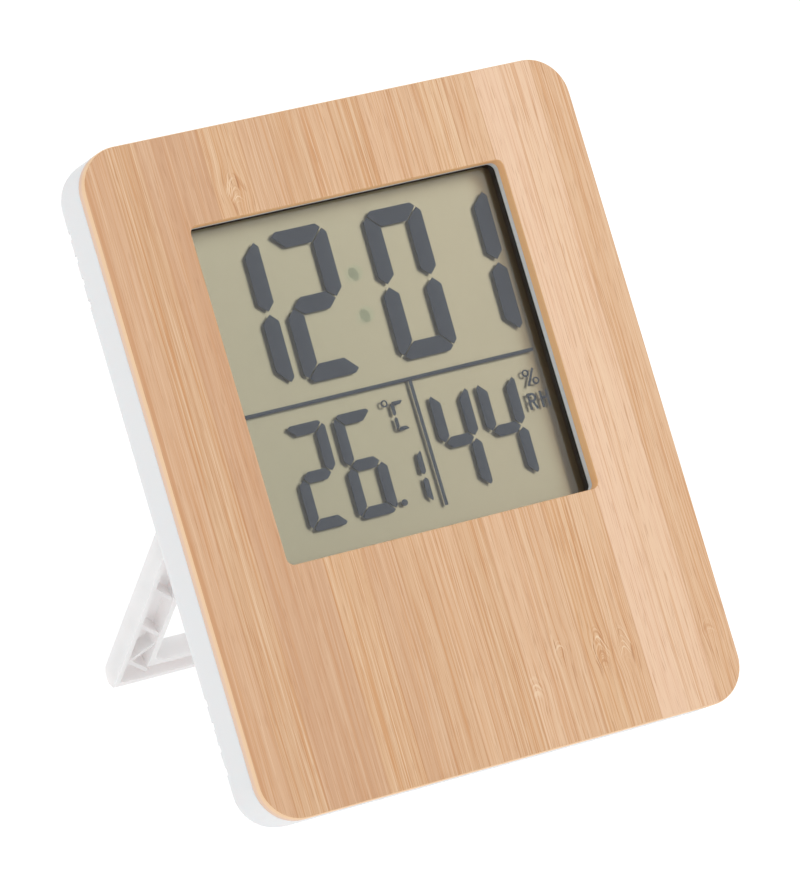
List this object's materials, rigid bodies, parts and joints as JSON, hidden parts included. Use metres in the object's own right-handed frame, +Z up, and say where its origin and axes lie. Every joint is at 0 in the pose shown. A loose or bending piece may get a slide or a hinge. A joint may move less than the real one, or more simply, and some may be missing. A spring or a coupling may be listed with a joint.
{
  "type": "desk weather station",
  "caption": "Leaning desk weather station with a bamboo front panel, a square digital display for time, temperature and humidity, and a folding frame stand.",
  "frame": {"origin": "middle of the footprint between the frontmost and rearmost points, on the surface that it stands on", "axes": "+X to the right seen from the front, +Y away from the viewer towards the back, +Z up"},
  "size_m": [0.113, 0.0914, 0.1218],
  "materials": {
    "bamboo": "satin",
    "adhesive": "matte",
    "white_plastic": "satin",
    "display_glass": "clear",
    "display_segments": "matte",
    "display_reflector": "satin",
    "contact_rubber": "matte",
    "board_green": "satin",
    "black_resin": "gloss",
    "black_plastic": "matte",
    "ceramic_parts": "matte",
    "bare_metal": "satin",
    "brass_disc": "satin",
    "battery_sleeve": "gloss",
    "red_wire": "gloss"
  },
  "bodies": {
    "case": {"wood_panel": "bamboo", "panel_adhesive": "adhesive", "front_frame": "white_plastic", "rear_cover": "white_plastic", "front_polariser": "display_glass", "front_glass": "display_glass", "lcd_segments": "display_segments", "rear_glass": "display_glass", "reflector_film": "display_reflector", "display_backing": "white_plastic", "contact_strip": "contact_rubber", "circuit_board": "board_green", "chip_blob": "black_resin", "quartz_crystal": "bare_metal", "board_parts": "ceramic_parts", "humidity_sensor": "white_plastic", "thermistor": "black_resin", "buzzer_disc": "brass_disc", "switch_bodies": "black_plastic", "board_screws": "bare_metal", "case_screws": "bare_metal", "battery_upper": "battery_sleeve", "battery_lower": "battery_sleeve", "contact_plates": "bare_metal", "contact_springs": "bare_metal", "battery_leads": "red_wire"},
    "stand": {"stand": "white_plastic"},
    "battery_door": {"battery_door": "white_plastic"},
    "mode_key": {"mode_button": "white_plastic", "mode_plunger": "black_plastic"},
    "up_key": {"up_button": "white_plastic", "up_plunger": "black_plastic"},
    "down_key": {"down_button": "white_plastic", "down_plunger": "black_plastic"},
    "memory_key": {"memory_button": "white_plastic", "memory_plunger": "black_plastic"}
  },
  "joints": [
    {"name": "stand_fold", "type": "hinge", "parent": "case", "child": "stand", "pos_m": [0, 0.0053, 0.05248], "axis": [-1, 0, 0], "range_deg": [0, 65.2]},
    {"name": "battery_door_swing", "type": "hinge", "parent": "case", "child": "battery_door", "pos_m": [0, -0.02043, 0.01199], "axis": [-1, 0, 0], "range_deg": [0, 75]},
    {"name": "mode_press", "type": "slide", "parent": "case", "child": "mode_key", "axis": [0, -0.8268, 0.5625], "range_m": [0, 0.0005], "stiffness_N_per_m": 600, "springref_m": -0.0005},
    {"name": "up_press", "type": "slide", "parent": "case", "child": "up_key", "axis": [0, -0.8268, 0.5625], "range_m": [0, 0.0005], "stiffness_N_per_m": 600, "springref_m": -0.0005},
    {"name": "down_press", "type": "slide", "parent": "case", "child": "down_key", "axis": [0, -0.8268, 0.5625], "range_m": [0, 0.0005], "stiffness_N_per_m": 600, "springref_m": -0.0005},
    {"name": "memory_press", "type": "slide", "parent": "case", "child": "memory_key", "axis": [0, -0.8268, 0.5625], "range_m": [0, 0.0005], "stiffness_N_per_m": 600, "springref_m": -0.0005}
  ]
}
